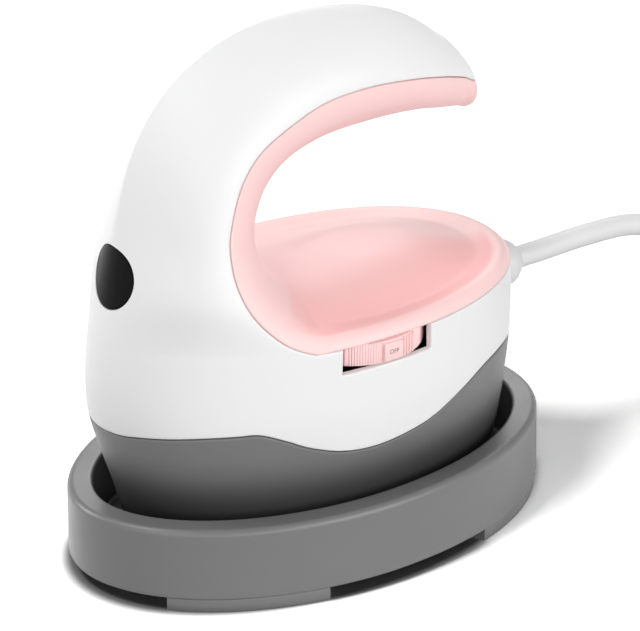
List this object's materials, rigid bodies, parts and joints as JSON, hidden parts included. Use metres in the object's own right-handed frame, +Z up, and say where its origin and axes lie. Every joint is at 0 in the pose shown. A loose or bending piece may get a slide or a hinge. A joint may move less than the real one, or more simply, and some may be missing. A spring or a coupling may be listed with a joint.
{
  "type": "mini craft iron",
  "caption": "Small craft iron with a curved handle, resting in its heat-safe stand, with a side selector wheel, a nose indicator and a coiled cord with plug.",
  "frame": {"origin": "on the table, under the middle of the stand, without the cord and plug", "axes": "+Z up, +X from the nose to the tail where the cord leaves, +Y across the width, the selector wheel on the -Y side"},
  "size_m": [0.3414, 0.0988, 0.1444],
  "materials": {
    "white_shell": "smooth, low gloss",
    "pink_grip": "satin",
    "grey_skirt": "satin, heat resistant",
    "grey_stand": "fine texture",
    "grey_rubber": "matte",
    "black_lens": "polished, smoked",
    "lamp_resin": "clear red",
    "cast_aluminium": "machined face",
    "sheet_steel": "plain",
    "heater_ceramic": "fired, matte",
    "mica": "mica sheet, matte",
    "board_laminate": "green circuit board",
    "board_pillars": "moulded",
    "relay_case": "moulded",
    "dark_sleeve": "sleeve",
    "fuse_glass": "clear tube with metal caps",
    "terminal_green": "moulded",
    "red_sleeve": "sleeve",
    "switch_case": "moulded",
    "white_cord": "soft sleeve, low gloss",
    "plated_brass": "plated"
  },
  "bodies": {
    "stand": {"stand_tray": "grey_stand", "stand_foot_1": "grey_rubber", "stand_foot_2": "grey_rubber", "stand_foot_3": "grey_rubber", "stand_foot_4": "grey_rubber", "rest_pad_1": "grey_rubber", "rest_pad_2": "grey_rubber", "rest_pad_3": "grey_rubber", "rest_pad_4": "grey_rubber", "cord_lead": "white_cord", "cord_coil": "white_cord", "cord_tail": "white_cord", "plug_body": "white_cord", "plug_blade_1": "plated_brass", "plug_blade_2": "plated_brass"},
    "iron": {"outer_shell": "white_shell", "grip_insert": "pink_grip", "heat_skirt": "grey_skirt", "indicator_lens": "black_lens", "lamp": "lamp_resin", "lamp_board": "board_laminate", "lamp_wire": "red_sleeve", "selector_switch": "switch_case", "selector_axle": "sheet_steel", "detent_spring": "sheet_steel", "heating_plate": "cast_aluminium", "heating_element": "heater_ceramic", "mica_sheet": "mica", "heat_shield": "sheet_steel", "plate_screw_1": "sheet_steel", "plate_screw_2": "sheet_steel", "plate_screw_3": "sheet_steel", "plate_screw_4": "sheet_steel", "thermostat": "sheet_steel", "thermal_fuse": "heater_ceramic", "heater_wire_1": "red_sleeve", "heater_wire_2": "red_sleeve", "main_board": "board_laminate", "board_pillar_1": "board_pillars", "board_pillar_2": "board_pillars", "board_pillar_3": "board_pillars", "board_pillar_4": "board_pillars", "relay": "relay_case", "capacitor": "dark_sleeve", "glass_fuse": "fuse_glass", "tilt_sensor": "sheet_steel", "terminal_block": "terminal_green", "live_wire": "red_sleeve", "neutral_wire": "dark_sleeve", "strain_relief": "white_cord"},
    "selector": {"selector_wheel": "pink_grip"}
  },
  "joints": [
    {"name": "iron_lift", "type": "slide", "parent": "stand", "child": "iron", "axis": [0, 0, 1], "range_m": [0, 0.05]},
    {"name": "selector_turn", "type": "hinge", "parent": "iron", "child": "selector", "pos_m": [0.0012, -0.0183, 0.0638], "axis": [0, 0, 1], "range_deg": [0, 180]}
  ]
}
